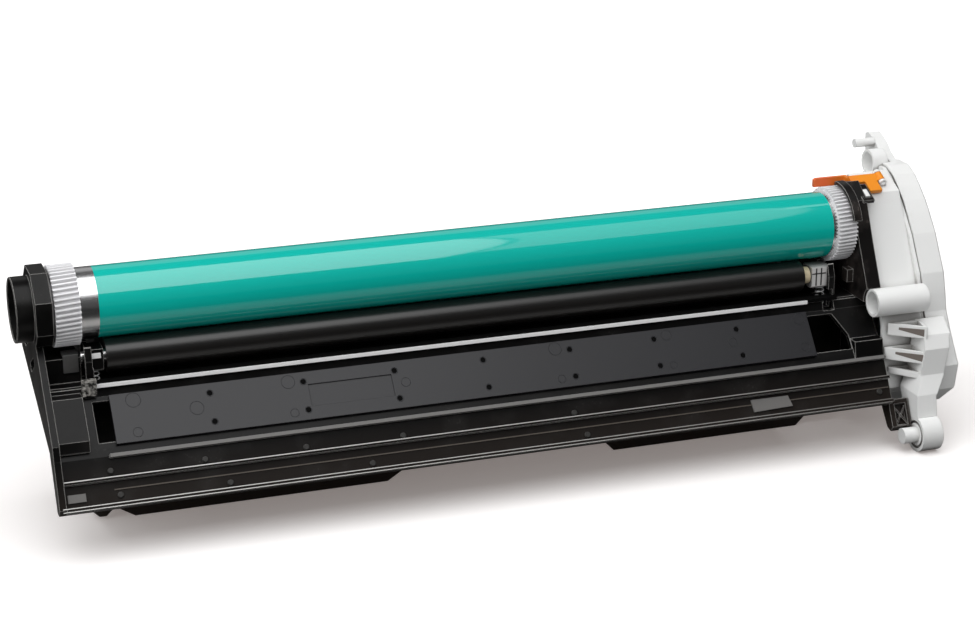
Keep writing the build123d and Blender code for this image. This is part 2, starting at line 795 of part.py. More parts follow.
with BuildPart() as right_side_plate:
    with BuildSketch(station(side_plate_x)):
        Polygon(*side_profile, align=None)
    extrude(amount=side_plate_thick)
    with BuildSketch(station(side_plate_x)):
        Polygon(*side_profile, align=None)
        offset(amount=-guard_wall, mode=Mode.SUBTRACT)
    extrude(amount=side_plate_width)
    with BuildSketch(station(side_plate_x - axial_gap - right_gear_width / 3)):
        Circle(gear_tip_r + 0.8 + guard_wall)
        Circle(gear_tip_r + 0.8, mode=Mode.SUBTRACT)
        with Locations((0, gear_tip_r / 3)):
            Rectangle(4 * gear_tip_r, 3 * gear_tip_r, align=(Align.CENTER, Align.MAX), mode=Mode.SUBTRACT)
        with Locations((1.5, 0)):
            Rectangle(2 * gear_tip_r, 4 * gear_tip_r, align=(Align.MIN, Align.CENTER), mode=Mode.SUBTRACT)
    extrude(amount=axial_gap + right_gear_width / 3)
    # Snap loop over the catch of the white cover
    with BuildSketch(lever_plane):
        with Locations((-side_plate_width, -3.5)):
            Rectangle(side_plate_width, 4.5, align=(Align.MIN, Align.MAX))
        with Locations((-2.0, -3.5)):
            Rectangle(5.6, 11.0, align=(Align.MIN, Align.MAX))
        with Locations((-1.0, -7.0)):
            Rectangle(3.7, 5.5, align=(Align.MIN, Align.MAX), mode=Mode.SUBTRACT)
    extrude(amount=lever_thick)
    # Box rib and boss on the outside of the plate
    with BuildSketch(station(side_plate_x)):
        with Locations((-10.0, -22.0)):
            Rectangle(5.0, 6.0)
    extrude(amount=-end_wall_thick)
    with BuildSketch(station(right_gear_x - spigot_length)):
        Circle(drum_pin_r)
        with Locations((idler_y, idler_z)):
            Circle(idler_pin_r)
    extrude(amount=spigot_length + right_gear_width + axial_gap + side_plate_thick, mode=Mode.SUBTRACT)
    with BuildSketch(station(side_plate_x - axial_gap)):
        with Locations(lower_boss):
            Circle(lower_boss_r + slide_gap)
    extrude(amount=side_plate_width + axial_gap, mode=Mode.SUBTRACT)
    # Notches that let the lever lie down
    with BuildSketch(lever_plane.offset(-slide_gap)):
        with Locations((lever_left - slide_gap, lever_arm_y - lever_arm / 2 - slide_gap)):
            Rectangle(side_plate_width, 4 * lever_arm, align=(Align.MIN, Align.MIN))
    extrude(amount=lever_arm, mode=Mode.SUBTRACT)
    with BuildSketch(Plane.XZ.offset(-tongue_y + slide_gap)):
        with Locations((side_plate_x, tongue_z - slide_gap)):
            Rectangle(side_plate_width, lever_arm, align=(Align.MIN, Align.MIN))
    extrude(amount=-(lever_thick + 2 * slide_gap), mode=Mode.SUBTRACT)
    with BuildSketch(Plane.XZ.offset(-web_y + slide_gap)):
        with Locations((cover_x + lever_left - slide_gap, web_z - slide_gap)):
            Rectangle(side_plate_width, lever_arm, align=(Align.MIN, Align.MIN))
    extrude(amount=-(tongue_y - web_y + lever_thick + 2 * slide_gap), mode=Mode.SUBTRACT)
save(right_side_plate.part, "right_side_plate")

# Right inner cover: a box shell open towards the side plate, with the lower tube boss
inner_profile = (
    (10.5, 19.6), (-2.5, 13.1), (-5.0, 8.0), (-17.7, -16.0), (-24.0, -28.0), (-30.0, -42.0),
    (-31.0, -72.0), (-22.0, -78.0), (30.0, -84.0), (37.0, -70.0), (37.0, 8.0), (14.0, 13.0),
)
cover_front = (
    (22.0, 20.6), (13.6, 20.6), (7.4, 17.6), (2.3, 13.6), (-3.7, 8.2), (-8.0, 3.4), (-14.5, -4.8),
    (-18.1, -11.0),
    (-24.0, -21.0), (-26.6, -30.0), (-28.5, -38.0),
)
cover_rest = (
    (-33.0, -46.0), (-42.0, -60.0), (-40.0, -72.0), (-28.0, -82.0), (-8.0, -89.0), (30.0, -89.0),
    (40.0, -70.0), (41.0, -10.0), (39.0, 10.0),
)
outer_profile = cover_front + cover_rest
arm_back = -31.6
boss_x = outer_cover_x - cover_wall - lower_boss_length
lug_plane = Plane(
    origin=(cover_x + lever_hinge, lever_seat[0], lever_seat[1]), x_dir=(1, 0, 0), z_dir=lever_plane.y_dir,
)
barrel_front = lever_arm_y - lever_arm / 2
with BuildPart() as right_inner_cover:
    with BuildSketch(station(cover_x)):
        Polygon(*inner_profile, align=None)
    extrude(amount=inner_cover_width)
    with BuildSketch(station(cover_x)):
        Polygon(*inner_profile, align=None)
        offset(amount=-cover_wall)
    extrude(amount=inner_cover_width - cover_wall, mode=Mode.SUBTRACT)
    with BuildSketch(station(boss_x)):
        with Locations(lower_boss):
            Circle(lower_boss_r)
    extrude(amount=lower_boss_length)
    with BuildSketch(station(boss_x)):
        with Locations(lower_boss):
            Circle(lower_boss_bore_r)
    extrude(amount=lower_boss_length - cover_wall, mode=Mode.SUBTRACT)
    # Recessed flange that closes the outer cover, with a post for each screw
    with BuildSketch(station(outer_cover_x - cover_wall)):
        Polygon(*outer_profile, align=None)
        offset(amount=-axial_gap)
        with Locations((arm_back + slide_gap, 0)):
            Rectangle(2 * drum_r, -floor_z, align=(Align.MAX, Align.MAX), mode=Mode.SUBTRACT)
        with Locations(cup):
            Circle(cup_r + slide_gap, mode=Mode.SUBTRACT)
    extrude(amount=cover_wall - air_gap)
    with BuildSketch(station(outer_cover_x - cover_wall)):
        with Locations(*screw_places):
            Circle(screw_head_r)
    extrude(amount=outer_cover_width - air_gap)
    with BuildSketch(station(total_length - screw_head - screw_length)):
        with Locations(*screw_places):
            Circle(screw_r)
    extrude(amount=screw_length, mode=Mode.SUBTRACT)
    # Catch for the snap loop
    with BuildSketch(lever_plane):
        with Locations((0.2, -7.4)):
            Rectangle(2.1, 4.7, align=(Align.MIN, Align.MAX))
    extrude(amount=lever_thick + 0.4)
    with BuildSketch(lever_plane):
        with Locations((0.2, -4.0)):
            Rectangle(2.1, 8.1, align=(Align.MIN, Align.MAX))
    extrude(amount=-3.0)
    # Lugs for the lever's pin, and a groove for its barrel
    for lug_front in (barrel_front - lug_gap - lug_width, barrel_front + lever_arm + lug_gap):
        with BuildSketch(lug_plane.offset(lug_front)):
            with Locations((0, -lever_thick / 2)):
                Circle(lug_r)
                Rectangle(2 * lug_r, 2 * lug_r, align=(Align.CENTER, Align.MIN))
        extrude(amount=lug_width)
    with BuildSketch(lug_plane.offset(barrel_front - lug_gap)):
        with Locations((0, -lever_thick / 2)):
            Circle(lug_r + slide_gap)
    extrude(amount=lever_arm + 2 * lug_gap, mode=Mode.SUBTRACT)
    with BuildSketch(lug_plane.offset(barrel_front - lug_gap - lug_width)):
        with Locations((0, -lever_thick / 2)):
            Circle(lever_pin_r)
    extrude(amount=lever_arm + 2 * lug_gap + 2 * lug_width, mode=Mode.SUBTRACT)
save(right_inner_cover.part, "right_inner_cover")

# Right outer cover: a shell with the ear, its pin and cup at the top, the box in front and the foot
ear_profile = (
    (41.0, 24.0), (41.0, 29.5), (38.5, 30.4), (34.0, 28.9), (29.5, 26.3), (26.4, 23.6), (22.0, 21.2),
    (14.0, 19.0),
    (16.0, 12.0), (37.0, 9.0),
)
arm_profile = (
    (arm_back, -39.5), (-42.0, -44.0), (-45.0, -50.0), (-45.0, -62.0), (-49.0, -70.0), (-51.0, -80.0),
    (-43.0, -84.0), (-38.0, -80.0), (-33.0, -70.0), (arm_back, -58.0),
)
arm_left = cover_x + foot_inset
arm_front = (
    (outer_cover_x + 9.0, -38.0), (outer_cover_x + 5.0, -46.0), (outer_cover_x + 2.0, -63.0),
    (arm_left + foot_width, -71.0), (arm_left + foot_width, floor_z), (arm_left, floor_z),
    (arm_left, -77.0), (arm_left + 0.5, -70.0), (arm_left + 4.0, -62.0), (arm_left + 6.0, -44.0),
    (arm_left + 7.0, -38.0),
)
fins = (
    (-39.8, 5.6, ((-7.0, arm_back), (9.0, arm_back), (7.0, -43.0))),
    (-51.2, 5.6, ((-8.4, arm_back), (7.0, arm_back), (6.0, -45.0))),
    (-61.0, 3.0, ((-5.5, arm_back), (6.0, arm_back), (5.0, -45.0))),
)
fin_wall = 1.3
with BuildPart() as arm:
    with BuildSketch(station(arm_left)):
        Polygon(*arm_profile, align=None)
        with Locations(foot_pin):
            Circle(foot_r)
    extrude(amount=total_length - arm_left)
    with BuildSketch(Plane.XZ):
        Polygon(*arm_front, align=None)
    extrude(amount=-2 * floor_z, both=True, mode=Mode.INTERSECT)
    # Hollow wedges that stiffen the box on its left
    for fin_z, fin_thick, corners in fins:
        with BuildSketch(Plane.XY.offset(fin_z)):
            Polygon(*[(arm_left + x, y) for x, y in corners], align=None)
        extrude(amount=-fin_thick)
        with BuildSketch(Plane.XY.offset(fin_z)):
            Polygon(*[(arm_left + x, y) for x, y in corners], align=None)
            offset(amount=-fin_wall, mode=Mode.REPLACE)
        extrude(amount=fin_wall - fin_thick, mode=Mode.SUBTRACT)

with BuildPart() as right_outer_cover:
    with BuildSketch(station(outer_cover_x)):
        Polygon(*outer_profile, align=None)
    extrude(amount=outer_cover_width)
    chamfer(right_outer_cover.faces().sort_by(Axis.X)[-1].edges(), cover_edge)
    with BuildSketch(station(outer_cover_x)):
        Polygon(*outer_profile, align=None)
        offset(amount=-cover_wall)
    extrude(amount=outer_cover_width - cover_wall, mode=Mode.SUBTRACT)
    with BuildSketch(station(outer_cover_x)):
        Polygon(*outer_profile, align=None)
        with Locations((arm_back, 0)):
            Rectangle(6 * drum_r, -2 * floor_z, align=(Align.MIN, Align.CENTER), mode=Mode.SUBTRACT)
    extrude(amount=cover_wall)
    add(arm.part)
    with BuildSketch(station(outer_cover_x + ear_inset)):
        Polygon(*ear_profile, align=None)
    extrude(amount=outer_cover_width / 2)
    with BuildSketch(station(outer_cover_x + ear_inset)):
        with Locations(ear_pin):
            Circle(ear_pin_r)
    extrude(amount=-ear_pin_length)
    with BuildSketch(station(outer_cover_x + ear_inset)):
        with Locations(cup):
            Circle(cup_r)
    extrude(amount=-cup_length)
    with BuildSketch(station(outer_cover_x + ear_inset - cup_length)):
        with Locations(cup):
            Circle(cup_r - cup_wall)
    extrude(amount=cup_length + cover_wall, mode=Mode.SUBTRACT)
    with BuildSketch(station(arm_left)):
        with Locations(foot_pin):
            Circle(foot_r - guard_wall)
            Circle(foot_pin_r + guard_wall, mode=Mode.SUBTRACT)
    extrude(amount=guard_wall, mode=Mode.SUBTRACT)
    with BuildSketch(station(arm_left)):
        with Locations(foot_pin):
            Circle(foot_pin_r)
    extrude(amount=-foot_pin_length)
    with BuildSketch(station(total_length)):
        with Locations(*screw_places):
            Circle(screw_r + slide_gap)
    extrude(amount=-cover_wall, mode=Mode.SUBTRACT)
    with BuildSketch(station(total_length)):
        with Locations(*screw_places):
            Circle(screw_head_r + slide_gap)
    extrude(amount=-screw_head, mode=Mode.SUBTRACT)
save(right_outer_cover.part, "right_outer_cover")

# Screws that hold the outer cover to the inner one
with BuildPart() as cover_screws:
    with BuildSketch(station(total_length - screw_head)):
        with Locations(*screw_places):
            Circle(screw_head_r)
    extrude(amount=screw_head)
    with BuildSketch(station(total_length - screw_head)):
        with Locations(*screw_places):
            Circle(screw_r)
    extrude(amount=-screw_length)
save(cover_screws.part, "cover_screws")

# Lock lever: a T-shaped tab on the cover's top, with a blade that reaches over the drum's end
tongue_profile = (
    (-17.4, tongue_z), (-17.4, tongue_z + 3.4), (-16.4, tongue_z + 4.0), (-0.4, tongue_z + 4.0),
    (-0.4, web_z), (-1.9, tongue_z),
)
stem_left = 4.3
stem_width = 6.0
stem_front = -8.4
with BuildPart() as lock_lever:
    with BuildSketch(lever_plane):
        with Locations((lever_left, barrel_front)):
            Rectangle(lever_hinge - lever_left, lever_arm, align=(Align.MIN, Align.MIN))
        with Locations((stem_left, stem_front)):
            Rectangle(stem_width, barrel_front - stem_front, align=(Align.MIN, Align.MIN))
    extrude(amount=lever_thick)
    with BuildSketch(Plane.XZ.offset(-tongue_y)):
        Polygon(*[(cover_x + x, z) for x, z in tongue_profile], align=None)
    extrude(amount=-lever_thick)
    with BuildSketch(Plane.XZ.offset(-web_y)):
        with Locations((cover_x + lever_left, web_z)):
            Rectangle(web_width, web_height, align=(Align.MIN, Align.MIN))
    extrude(amount=web_y - tongue_y)
    with BuildSketch(lug_plane.offset(barrel_front)):
        with Locations((0, -lever_thick / 2)):
            Circle(lug_r)
    extrude(amount=lever_arm)
    with BuildSketch(lug_plane.offset(barrel_front)):
        with Locations((0, -lever_thick / 2)):
            Circle(lever_pin_r + running_fit)
    extrude(amount=lever_arm, mode=Mode.SUBTRACT)
save(lock_lever.part, "lock_lever")

with BuildPart() as lever_pin:
    with BuildSketch(lug_plane.offset(barrel_front - lug_gap - lug_width)):
        with Locations((0, -lever_thick / 2)):
            Circle(lever_pin_r)
    extrude(amount=lever_arm + 2 * lug_gap + 2 * lug_width)
save(lever_pin.part, "lever_pin")
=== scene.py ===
from math import cos, hypot, pi, sin

import bpy
from mathutils import Matrix, Vector


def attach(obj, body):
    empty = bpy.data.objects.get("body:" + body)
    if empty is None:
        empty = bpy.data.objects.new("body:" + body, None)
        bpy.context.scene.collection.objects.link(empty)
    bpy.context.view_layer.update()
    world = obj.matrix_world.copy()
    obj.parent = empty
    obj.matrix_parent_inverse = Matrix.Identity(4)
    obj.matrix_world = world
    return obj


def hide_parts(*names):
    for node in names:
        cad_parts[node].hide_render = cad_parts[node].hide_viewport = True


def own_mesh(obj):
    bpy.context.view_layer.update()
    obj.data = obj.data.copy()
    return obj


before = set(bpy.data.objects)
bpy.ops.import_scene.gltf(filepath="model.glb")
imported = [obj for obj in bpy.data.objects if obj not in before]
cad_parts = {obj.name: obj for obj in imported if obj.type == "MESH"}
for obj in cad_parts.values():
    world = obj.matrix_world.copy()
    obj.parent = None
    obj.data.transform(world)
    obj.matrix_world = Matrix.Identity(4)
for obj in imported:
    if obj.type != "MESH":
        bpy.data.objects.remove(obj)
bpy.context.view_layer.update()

# Millimetres in the unit's own frame: X along the drum axis from the drive socket, Y back, Z up
MM = 0.001
FLOOR_Z = -96.0
COAT_START = 33.3
COAT_END = 366.1

# The sloping walls of the main frame, seen end-on: (Y, Z) points on their middle lines
WALL = 2.2
PLATE_THICK = 2.0
SLOPE_TOP = (-16.2, -36.0)
SLOPE_FOOT = (-30.2, -53.2)
CHANNEL_TOP = (-32.3, -56.0)
LIP_FOOT = (-42.3, -73.4)

# How deep or wide the finishes work, in metres
GRAIN_DEPTH = 0.0002
CREVICE_SHADE_REACH = 0.007
BLACK_EDGE = 0.00045

# Where a finish changes, in metres: the black turns brown down Z, the lever's orange and the painted
# highlight on the rail edges change along X
BROWN_START = -0.055
BROWN_FULL = -0.09
LEVER_ARM = 0.374
LEVER_HINGE = 0.388
EDGE_BRIGHT_END = 0.06
EDGE_DULL_START = 0.4

# Patches and specks of dust: how many to a metre, the noise at which they start and are full, the
# share of dust between the specks, and how much rougher the dust makes the plastic
PATCH_SCALE = 60.0
PATCH_CUT = (0.5, 0.72)
SPECK_SCALE = 900.0
SPECK_CUT = (0.62, 0.72)
DUST_BETWEEN_SPECKS = 0.25
DUST_DULLNESS = 0.1

# Strength of the painted highlight on sharp edges, and how open a deep crevice in full painted shade and
# a clear face are
EDGE_HIGHLIGHT_GAIN = 9.0
CREVICE_SHADE_CUT = (0.2, 0.65)

# Roughness of the drum's bare ends, what its coating adds, and how much fine lines vary a metal
BARE_ROUGHNESS = 0.24
COAT_ROUGHER = 0.03
TURNING_LINES = 0.06
ROLLING_LINES = 0.15

EDGE_HIGHLIGHT_GREY = (0.5, 0.49, 0.47)
LIGHT_DUST = (0.035, 0.033, 0.031)
SMUDGED_DUST = (0.16, 0.135, 0.12)
BROWN_LOW_DOWN = (0.032, 0.025, 0.021)
DRUM_GREEN = (0.0, 0.51, 0.43)
BARE_ALUMINIUM = (0.88, 0.88, 0.89)


class Socket:
    """A shader socket that takes part in sums written as plain expressions."""

    def __init__(self, nodes, link):
        self.nodes = nodes
        self.link = link

    def _math(self, operation, first, second):
        return self.nodes.node("ShaderNodeMath", {"operation": operation}, {0: first, 1: second}).out()

    def __add__(self, other):
        return self._math("ADD", self, other)

    def __radd__(self, other):
        return self._math("ADD", other, self)

    def __sub__(self, other):
        return self._math("SUBTRACT", self, other)

    def __rsub__(self, other):
        return self._math("SUBTRACT", other, self)

    def __mul__(self, other):
        return self._math("MULTIPLY", self, other)

    def __rmul__(self, other):
        return self._math("MULTIPLY", other, self)

    def __gt__(self, other):
        return self._math("GREATER_THAN", self, other)

    def __lt__(self, other):
        return self._math("LESS_THAN", self, other)


class Placed:
    """A node in a tree, with its outputs as sockets."""

    def __init__(self, nodes, node):
        self.nodes = nodes
        self.node = node

    def out(self, name=0):
        return Socket(self.nodes, self.node.outputs[name])


class Nodes:
    """A shader tree to which nodes are added by their type, settings and input values."""

    def __init__(self, tree):
        self.tree = tree

    def put(self, socket, value):
        if isinstance(value, Socket):
            self.tree.links.new(value.link, socket)
        elif isinstance(value, tuple) and len(value) == 3 and len(socket.default_value) == 4:
            socket.default_value = (*value, 1.0)
        else:
            socket.default_value = value

    def node(self, kind, settings=None, values=None):
        made = self.tree.nodes.new(kind)
        for key, value in (settings or {}).items():
            setattr(made, key, value)
        for key, value in (values or {}).items():
            self.put(made.inputs[key], value)
        return Placed(self, made)

    def blend(self, share, low, high):
        """Mix two colours: low where the share is 0, high where it is 1."""
        # A Mix node keeps its colours in sockets 6 and 7, and their result in output 2
        return self.node("ShaderNodeMix", {"data_type": "RGBA"}, {0: share, 6: low, 7: high}).out(2)

    def rise(self, value, start, end, interpolation="LINEAR"):
        """A share that goes from 0 where the value is start to 1 where it is end."""
        settings = {"interpolation_type": interpolation}
        return self.node("ShaderNodeMapRange", settings, {0: value, 1: start, 2: end}).out()

    def ray(self, kind):
        return self.node("ShaderNodeLightPath").out(kind)


class Paint(Nodes):
    """A material being mixed on one Principled shader. Its lengths are in metres."""

    def __init__(self, name):
        self.material = bpy.data.materials.new(name)
        self.material.use_nodes = True
        super().__init__(self.material.node_tree)
        self.shader = self.tree.nodes["Principled BSDF"]

    def set(self, **values):
        for key, value in values.items():
            self.put(self.shader.inputs[key.replace("_", " ")], value)

    def place(self):
        """The point on the piece, in the piece's own space."""
        return self.node("ShaderNodeTexCoord").out("Object")

    def axis(self, letter):
        return self.node("ShaderNodeSeparateXYZ", None, {0: self.place()}).out(letter)

    def vectors(self, operation, first, second, output):
        values = {0: first, 1: second}
        return self.node("ShaderNodeVectorMath", {"operation": operation}, values).out(output)

    def noise(self, scale, detail=2.0, stretch=(1, 1, 1)):
        spread = self.node("ShaderNodeMapping", None, {"Vector": self.place(), "Scale": stretch}).out()
        values = {"Vector": spread, "Scale": scale, "Detail": detail}
        return self.node("ShaderNodeTexNoise", None, values).out("Fac")

    def soft_edges(self, radius, height=None, strength=0.1):
        """Rounds the look of sharp edges, with a fine surface grain if a height is given."""
        edge = self.node("ShaderNodeBevel", {"samples": 4}, {"Radius": radius}).out()
        if height is None:
            return edge
        values = {"Strength": strength, "Distance": GRAIN_DEPTH, "Height": height, "Normal": edge}
        return self.node("ShaderNodeBump", None, values).out()


def plastic(name, colour, roughness, edge=0.0004, grain=0.0, grain_scale=2500.0, specular=0.5):
    """A moulded plastic with softened edges and, if asked for, a spark-eroded grain."""
    paint = Paint(name)
    height = paint.noise(grain_scale) if grain else None
    paint.set(Base_Color=colour, Roughness=roughness, Specular_IOR_Level=specular)
    paint.set(Normal=paint.soft_edges(edge, height, grain))
    return paint


def pale_moulding(name, colour, crevice_shade, roughness, edge):
    """Pale plastic with painted shade: its colour darkens a little in its corners and gaps."""
    paint = Paint(name)
    distance = {"Distance": CREVICE_SHADE_REACH}
    openness = paint.node("ShaderNodeAmbientOcclusion", {"samples": 8}, distance).out("AO")
    outside = paint.rise(openness, *CREVICE_SHADE_CUT)
    paint.set(Base_Color=paint.blend(outside, crevice_shade, colour), Roughness=roughness)
    paint.set(Normal=paint.soft_edges(edge))
    return paint


def black_moulding(name, colour, roughness, dust):
    """Black plastic with a painted grey highlight along its edges, dust on its faces, and browner low
    down.
    """
    paint = Paint(name)
    rounded = paint.soft_edges(BLACK_EDGE)
    flat = paint.node("ShaderNodeNewGeometry").out("Normal")
    # Painted highlight: grey where the rounded normal turns away from the flat one, along every edge
    edge = (1 - paint.vectors("DOT_PRODUCT", rounded, flat, "Value")) * EDGE_HIGHLIGHT_GAIN
    patches = paint.rise(paint.noise(PATCH_SCALE, 6.0), *PATCH_CUT)
    specks = paint.rise(paint.noise(SPECK_SCALE), *SPECK_CUT)
    dust_share = patches * (DUST_BETWEEN_SPECKS + specks * (1 - DUST_BETWEEN_SPECKS))
    low = paint.rise(paint.axis("Z"), BROWN_START, BROWN_FULL)
    brown = paint.blend(low, colour, BROWN_LOW_DOWN)
    dusty = paint.blend(dust_share, brown, dust)
    paint.set(
        Base_Color=paint.blend(edge, dusty, EDGE_HIGHLIGHT_GREY),
        Roughness=roughness + patches * DUST_DULLNESS,
        Specular_IOR_Level=0.22,
        Normal=rounded,
    )
    return paint


def metal(name, colour, roughness, stretch=(1, 60, 60), scale=300.0, metallic=1.0):
    """A bare metal with fine lines along one direction."""
    paint = Paint(name)
    lines = paint.noise(scale, 3.0, stretch)
    paint.set(Base_Color=colour, Metallic=metallic, Roughness=roughness + (lines - 0.5) * ROLLING_LINES)
    paint.set(Normal=paint.soft_edges(0.0002))
    return paint


def drum_finish():
    """Glossy green coating along the drum, and bright bare aluminium at its two ends."""
    paint = Paint("drum coating")
    along = paint.axis("X")
    coated = (along > COAT_START * MM) * (along < COAT_END * MM)
    lines = paint.noise(900.0, 2.0, (60, 1, 1))
    paint.set(
        Base_Color=paint.blend(coated, BARE_ALUMINIUM, DRUM_GREEN),
        Metallic=1 - coated,
        Roughness=BARE_ROUGHNESS + coated * COAT_ROUGHER + (lines - 0.5) * TURNING_LINES * (1 - coated),
        Specular_IOR_Level=0.1,
        Coat_Weight=coated,
        Coat_Roughness=0.05,
        Coat_IOR=1.75,
    )
    return paint


def felt_finish():
    """Dark felt with pale specks."""
    paint = Paint("speckled felt")
    specks = paint.node("ShaderNodeValToRGB", None, {0: paint.noise(700.0, 8.0)})
    dark, pale = specks.node.color_ramp.elements
    dark.position, dark.color = 0.42, (0.012, 0.011, 0.01, 1)
    pale.position, pale.color = 0.72, (0.55, 0.53, 0.49, 1)
    fuzz = paint.soft_edges(0.0003, paint.noise(2500.0), 0.6)
    paint.set(Base_Color=specks.out("Color"), Roughness=0.95, Normal=fuzz)
    return paint


def lever_finish():
    """Orange plastic, a little yellower towards the hinge."""
    paint = Paint("orange lever plastic")
    share = paint.rise(paint.axis("X"), LEVER_ARM, LEVER_HINGE)
    paint.set(Base_Color=paint.blend(share, (0.9, 0.17, 0.045), (0.93, 0.3, 0.01)), Roughness=0.35)
    paint.set(Normal=paint.soft_edges(0.0005))
    return paint


def edge_highlight_finish():
    """A painted highlight on a black edge: pale grey at the left end, fading to dark along the unit."""
    paint = Paint("painted edge highlight")
    share = paint.rise(paint.axis("X"), EDGE_BRIGHT_END, EDGE_DULL_START)
    paint.set(Base_Color=paint.blend(share, (0.75, 0.74, 0.72), (0.16, 0.15, 0.14)), Roughness=0.4)
    return paint


black = black_moulding("black moulded plastic", (0.004, 0.0038, 0.0038), 0.28, LIGHT_DUST)
dusty_black = black_moulding("dusty black plastic", (0.007, 0.006, 0.006), 0.32, SMUDGED_DUST)
plate_grey = plastic(
    "smooth dark plate", (0.019, 0.019, 0.022), 0.28,
    edge=0.0003, grain=0.02, grain_scale=900.0, specular=0.45,
)
# The second colour of each pale moulding is painted shade for its corners and gaps
white = pale_moulding(
    "white moulded plastic", (0.92, 0.925, 0.915), (0.26, 0.245, 0.23), 0.42, edge=0.0006
)
gear_white = pale_moulding("white gear plastic", (0.93, 0.93, 0.95), (0.6, 0.59, 0.6), 0.35, edge=0.0002)
bearing_white = pale_moulding(
    "translucent bearing plastic", (0.66, 0.65, 0.64), (0.1, 0.1, 0.1), 0.3, edge=0.0003
)
orange = lever_finish()
cream = plastic("cream ring plastic", (0.80, 0.68, 0.46), 0.4, edge=0.0002)
grey = plastic("grey auger plastic", (0.25, 0.25, 0.25), 0.5, edge=0.0002)
pad_grey = plastic("grey foam pad", (0.16, 0.155, 0.15), 0.85, grain=0.5, grain_scale=1500.0)
film = plastic("dark film", (0.05, 0.05, 0.055), 0.3, edge=0.0001)
roller_black = plastic(
    "charging roller rubber", (0.007, 0.006, 0.0055), 0.32, grain=0.03, grain_scale=1800.0, specular=0.85
)
blade_amber = plastic("blade rubber", (0.42, 0.26, 0.08), 0.45, edge=0.0002)
painted_black = plastic("painted shade and dark reflection", (0.002, 0.002, 0.002), 0.8, edge=0.0001, specular=0.1)
# Painted highlight: the steel is white rather than a mirror, so that the thin edge of the stay is bright
# from every side
white_glint_steel = metal("sheet steel painted white with its highlight", (1.0, 1.0, 1.0), 0.3, metallic=0.0)
steel = metal("turned steel", (0.78, 0.78, 0.78), 0.22, stretch=(60, 1, 1))
zinc = metal("dull sheet steel", (0.42, 0.42, 0.42), 0.42, stretch=(1, 1, 1), scale=400.0)
rail_sheen_grey = plastic("rail face with painted sheen", (0.2, 0.195, 0.19), 0.3, edge=0.0002)
stud_grey = plastic("stud plastic", (0.035, 0.034, 0.032), 0.4, edge=0.0003)
shade = plastic("shaded inside of a wedge", (0.2, 0.17, 0.15), 0.6, edge=0.0002)
faint_edge = plastic("faint rib", (0.1, 0.085, 0.07), 0.4, edge=0.0002)
edge_highlight_paint = edge_highlight_finish()
coating = drum_finish()
felt = felt_finish()

FINISHES = {
    black: ("main_frame", "left_end_plate", "drive_socket", "left_roller_bearing"),
    dusty_black: ("right_side_plate",),
    plate_grey: ("front_plate",),
    white: ("right_inner_cover", "right_outer_cover"),
    bearing_white: ("right_roller_bearing",),
    gear_white: ("left_drum_gear", "right_drum_gear", "idler_gear", "auger_gear"),
    coating: ("drum_tube",),
    white_glint_steel: ("steel_stay", "left_roller_spring", "right_roller_spring"),
    steel: ("roller_shaft", "drum_pin", "idler_pin", "lever_pin", "cover_screws"),
    zinc: ("earth_bracket", "blade_bracket"),
    roller_black: ("charging_roller",),
    blade_amber: ("cleaning_blade",),
    orange: ("lock_lever",),
    cream: ("roller_collar",),
    grey: ("waste_auger",),
    film: ("scoop_film",),
    felt: ("felt_pad",),
}
for paint, names in FINISHES.items():
    for name in names:
        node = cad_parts[name]
        node.data.materials.clear()
        node.data.materials.append(paint.material)


class Mould:
    """Collects the vertices and faces of one added piece, in millimetres."""

    def __init__(self):
        self.points = []
        self.faces = []
        self.smooth = []

    def add(self, points, faces, smooth=False):
        start = len(self.points)
        self.points += points
        self.faces += [[start + i for i in face] for face in faces]
        self.smooth += [smooth] * len(faces)

    def lathe(self, profile, place, sides):
        """Turns a closed (radius, height) loop round the local Z of a placing matrix."""
        points = []
        for side in range(sides):
            turn = 2 * pi * side / sides
            points += [place @ Vector((r * cos(turn), r * sin(turn), h)) for r, h in profile]
        count = len(profile)
        faces = []
        for side in range(sides):
            near, far = side * count, (side + 1) % sides * count
            for i in range(count):
                j = (i + 1) % count
                faces.append((near + i, far + i, far + j, near + j))
        self.add(points, faces, True)

    def disc(self, radius, height, place, sides=20):
        """A short solid stud with a slightly smaller top."""
        circle = [(cos(2 * pi * i / sides), sin(2 * pi * i / sides)) for i in range(sides)]
        points = []
        for r, h in ((radius, 0.0), (radius, height * 0.7), (radius * 0.8, height)):
            points += [place @ Vector((r * x, r * y, h)) for x, y in circle]
        faces = [tuple(reversed(range(sides))), tuple(range(2 * sides, 3 * sides))]
        for below in (0, sides):
            above = below + sides
            for i in range(sides):
                j = (i + 1) % sides
                faces.append((below + i, below + j, above + j, above + i))
        self.add(points, faces)

    def slab(self, outline, heights, place=Matrix.Identity(4)):
        """A flat piece with any outline, between two local heights."""
        count = len(outline)
        points = [place @ Vector((x, y, height)) for height in heights for x, y in outline]
        faces = [tuple(reversed(range(count))), tuple(range(count, 2 * count))]
        for i in range(count):
            j = (i + 1) % count
            faces.append((i, j, count + j, count + i))
        self.add(points, faces)

    def bar(self, along, across, heights, place=Matrix.Identity(4)):
        """A block from its (low, high) spans along local X, Y and Z."""
        (left, right), (bottom, top) = along, across
        self.slab([(left, bottom), (right, bottom), (right, top), (left, top)], heights, place)

    def build(self, name, paint, body="unit"):
        mesh = bpy.data.meshes.new(name)
        mesh.from_pydata([point * MM for point in self.points], [], self.faces)
        for face, smooth in zip(mesh.polygons, self.smooth):
            face.use_smooth = smooth
        mesh.update()
        made = bpy.data.objects.new(name, mesh)
        bpy.context.scene.collection.objects.link(made)
        mesh.materials.append(paint.material)
        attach(made, body)


def placing(along, up, out, origin):
    """A matrix that places local X, Y and Z along three directions from an origin."""
    turn = Matrix([[direction[i] for direction in (along, up, out)] for i in range(3)])
    return Matrix.Translation(origin) @ turn.to_4x4()


